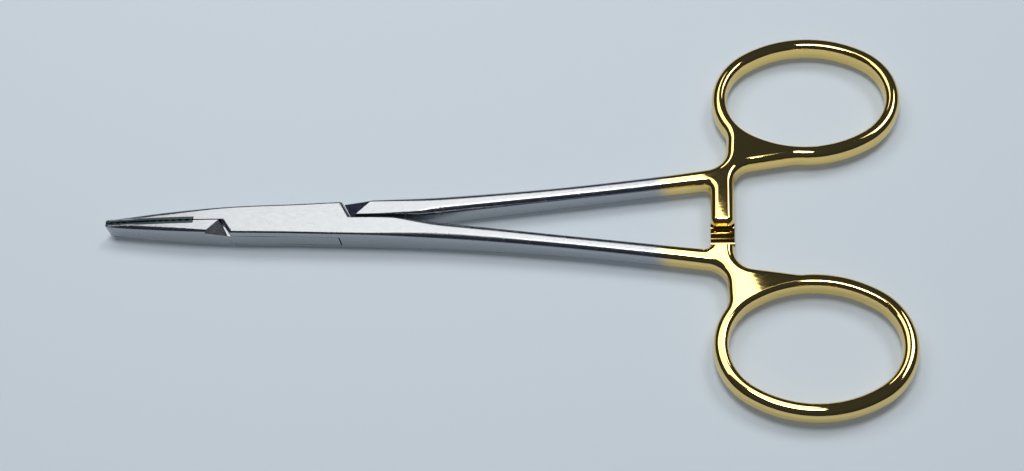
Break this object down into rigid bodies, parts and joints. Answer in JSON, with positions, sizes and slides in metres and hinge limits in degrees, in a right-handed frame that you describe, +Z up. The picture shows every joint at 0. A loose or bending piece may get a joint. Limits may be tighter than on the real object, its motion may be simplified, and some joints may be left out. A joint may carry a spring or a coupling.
{
  "type": "needle holder",
  "caption": "Fine surgical needle holder: ring handles, ratchet bars, a box-lock pivot and short tapered jaws with cross-hatched carbide inserts.",
  "frame": {"origin": "the pivot's axis where it meets the plane that the closed instrument lies on, under the box lock", "axes": "+X along the instrument from the pivot towards the finger rings, +Y towards the ring of the through half, +Z up along the pivot's axis"},
  "size_m": [0.1287, 0.0684, 0.0048],
  "materials": {
    "forged_steel": "satin, with the rings, necks and ratchet bars gold plated",
    "pin_steel": "satin, ground flush",
    "carbide": "dull dark grey, cross-hatched"
  },
  "bodies": {
    "box_side": {"box_half": "forged_steel", "lock_pin": "pin_steel", "box_jaw_insert": "carbide"},
    "through_side": {"through_half": "forged_steel", "through_jaw_insert": "carbide"}
  },
  "joints": [
    {"name": "box_lock_pivot", "type": "hinge", "parent": "box_side", "child": "through_side", "pos_m": [0, 0, 0.0024], "axis": [0, 0, 1], "range_deg": [0, 40]}
  ]
}
